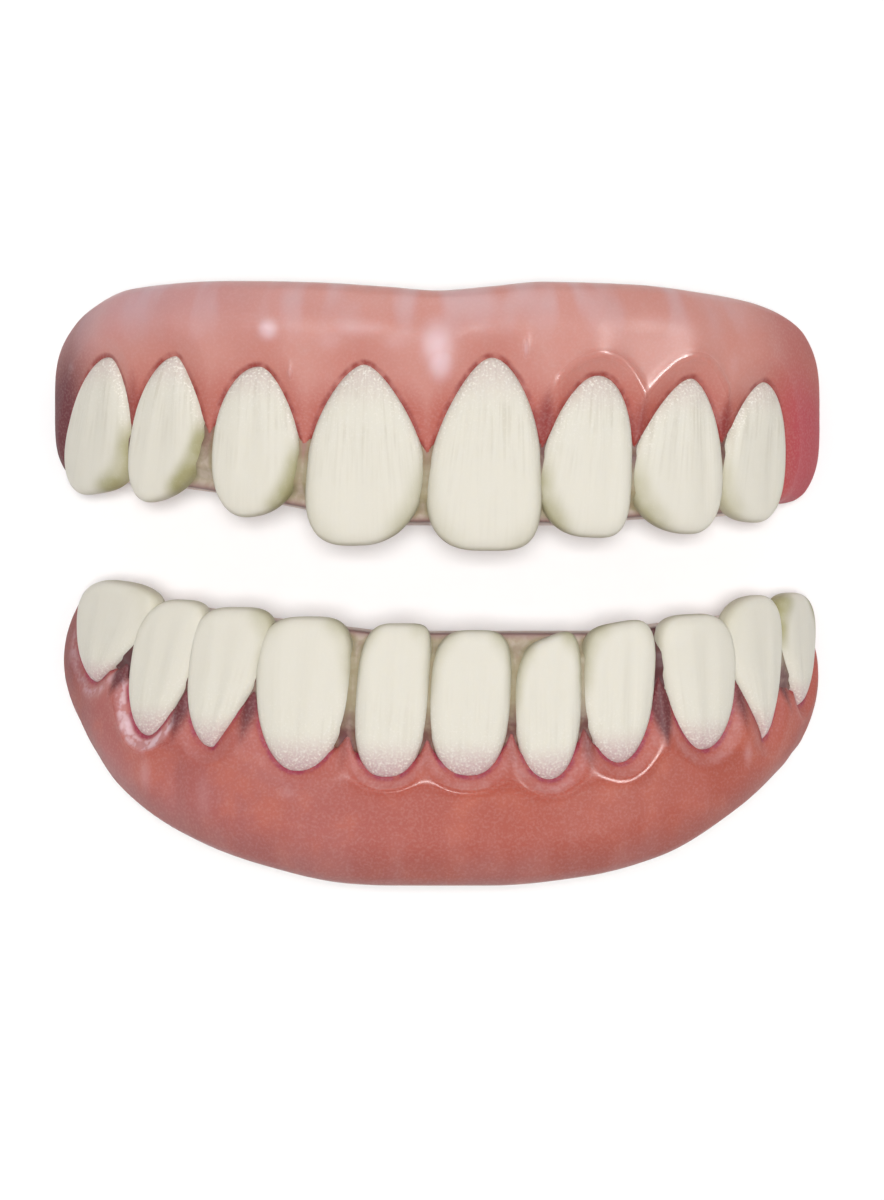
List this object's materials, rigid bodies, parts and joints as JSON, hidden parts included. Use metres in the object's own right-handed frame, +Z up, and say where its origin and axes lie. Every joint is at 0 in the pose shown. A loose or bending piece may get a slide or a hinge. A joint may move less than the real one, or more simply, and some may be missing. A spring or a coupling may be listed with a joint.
{
  "type": "false teeth",
  "caption": "Upper and lower false-teeth plates: crooked ivory teeth in pink acrylic gums, hollowed behind as a channel that slips over the wearer's own teeth.",
  "frame": {"origin": "on the surface that the plates lie on, under the middle of their box", "axes": "+X across the mouth to the right as seen from the front, +Y from the lower plate to the upper one, +Z up, the way the front teeth face"},
  "size_m": [0.0596, 0.0454, 0.0219],
  "materials": {
    "gum_acrylic": "cast and polished pink acrylic",
    "tooth_acrylic": "ivory acrylic with fine upright lines",
    "tray_acrylic": "pale translucent acrylic"
  },
  "bodies": {
    "root": {"upper_gum": "gum_acrylic", "upper_tray": "tray_acrylic", "upper_tooth_1": "tooth_acrylic", "upper_tooth_2": "tooth_acrylic", "upper_tooth_3": "tooth_acrylic", "upper_tooth_4": "tooth_acrylic", "upper_tooth_5": "tooth_acrylic", "upper_tooth_6": "tooth_acrylic", "upper_tooth_7": "tooth_acrylic", "upper_tooth_8": "tooth_acrylic", "lower_gum": "gum_acrylic", "lower_tray": "tray_acrylic", "lower_tooth_1": "tooth_acrylic", "lower_tooth_2": "tooth_acrylic", "lower_tooth_3": "tooth_acrylic", "lower_tooth_4": "tooth_acrylic", "lower_tooth_5": "tooth_acrylic", "lower_tooth_6": "tooth_acrylic", "lower_tooth_7": "tooth_acrylic", "lower_tooth_8": "tooth_acrylic", "lower_tooth_9": "tooth_acrylic", "lower_tooth_10": "tooth_acrylic", "lower_tooth_11": "tooth_acrylic"}
  },
  "joints": []
}
